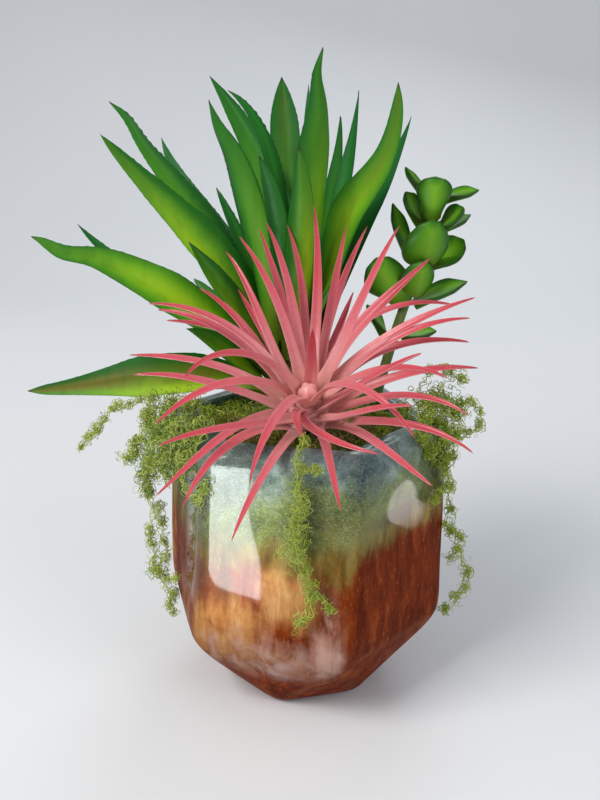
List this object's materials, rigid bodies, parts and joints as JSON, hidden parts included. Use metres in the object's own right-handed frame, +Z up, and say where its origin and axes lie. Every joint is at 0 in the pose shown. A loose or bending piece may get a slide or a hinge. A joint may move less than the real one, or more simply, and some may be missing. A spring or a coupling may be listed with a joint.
{
  "type": "potted succulent arrangement",
  "caption": "Small faceted glazed pot holding a tall green aloe, a spreading pink tillandsia and a crassula sprig, with curly moss draped over the rim.",
  "frame": {"origin": "centre of the pot's flat base, where it stands on a surface", "axes": "+Z up the pot's centre line; -Y towards the front, where the tillandsia leans out over the rim; +X to the right seen from the front"},
  "size_m": [0.1291, 0.1278, 0.174],
  "materials": {
    "pot_glaze": "gloss",
    "floral_foam": "matte",
    "moss": "matte",
    "aloe_green": "satin",
    "green_stalk": "satin",
    "tillandsia_pink": "satin",
    "crassula_green": "satin"
  },
  "bodies": {
    "root": {"aloe_leaf_01": "aloe_green", "aloe_leaf_02": "aloe_green", "aloe_leaf_03": "aloe_green", "aloe_leaf_04": "aloe_green", "aloe_leaf_05": "aloe_green", "aloe_leaf_06": "aloe_green", "aloe_leaf_07": "aloe_green", "aloe_leaf_08": "aloe_green", "aloe_leaf_09": "aloe_green", "aloe_leaf_10": "aloe_green", "aloe_leaf_11": "aloe_green", "aloe_leaf_12": "aloe_green", "aloe_leaf_13": "aloe_green", "aloe_leaf_14": "aloe_green", "aloe_leaf_15": "aloe_green", "aloe_leaf_16": "aloe_green", "aloe_leaf_17": "aloe_green", "aloe_leaf_18": "aloe_green", "aloe_leaf_19": "aloe_green", "aloe_leaf_20": "aloe_green", "aloe_leaf_21": "aloe_green", "aloe_leaf_22": "aloe_green", "aloe_leaf_23": "aloe_green", "aloe_stem": "green_stalk", "crassula_leaf_01": "crassula_green", "crassula_leaf_02": "crassula_green", "crassula_leaf_03": "crassula_green", "crassula_leaf_04": "crassula_green", "crassula_leaf_05": "crassula_green", "crassula_leaf_06": "crassula_green", "crassula_leaf_07": "crassula_green", "crassula_leaf_08": "crassula_green", "crassula_leaf_09": "crassula_green", "crassula_leaf_10": "crassula_green", "crassula_leaf_11": "crassula_green", "crassula_leaf_12": "crassula_green", "crassula_leaf_13": "crassula_green", "crassula_leaf_14": "crassula_green", "crassula_leaf_15": "crassula_green", "crassula_stem": "green_stalk", "foam_plug": "floral_foam", "moss_bed": "moss", "moss_clump_left": "moss", "moss_clump_right": "moss", "moss_strand_front": "moss", "moss_strand_left": "moss", "moss_strand_right": "moss", "moss_tendril_left": "moss", "moss_tendril_right": "moss", "moss_tuft_front": "moss", "moss_tuft_side": "moss", "pot": "pot_glaze", "tillandsia_ring_1": "tillandsia_pink", "tillandsia_ring_2": "tillandsia_pink", "tillandsia_ring_3": "tillandsia_pink", "tillandsia_ring_4": "tillandsia_pink", "tillandsia_ring_5": "tillandsia_pink", "tillandsia_stem": "green_stalk"}
  },
  "joints": []
}
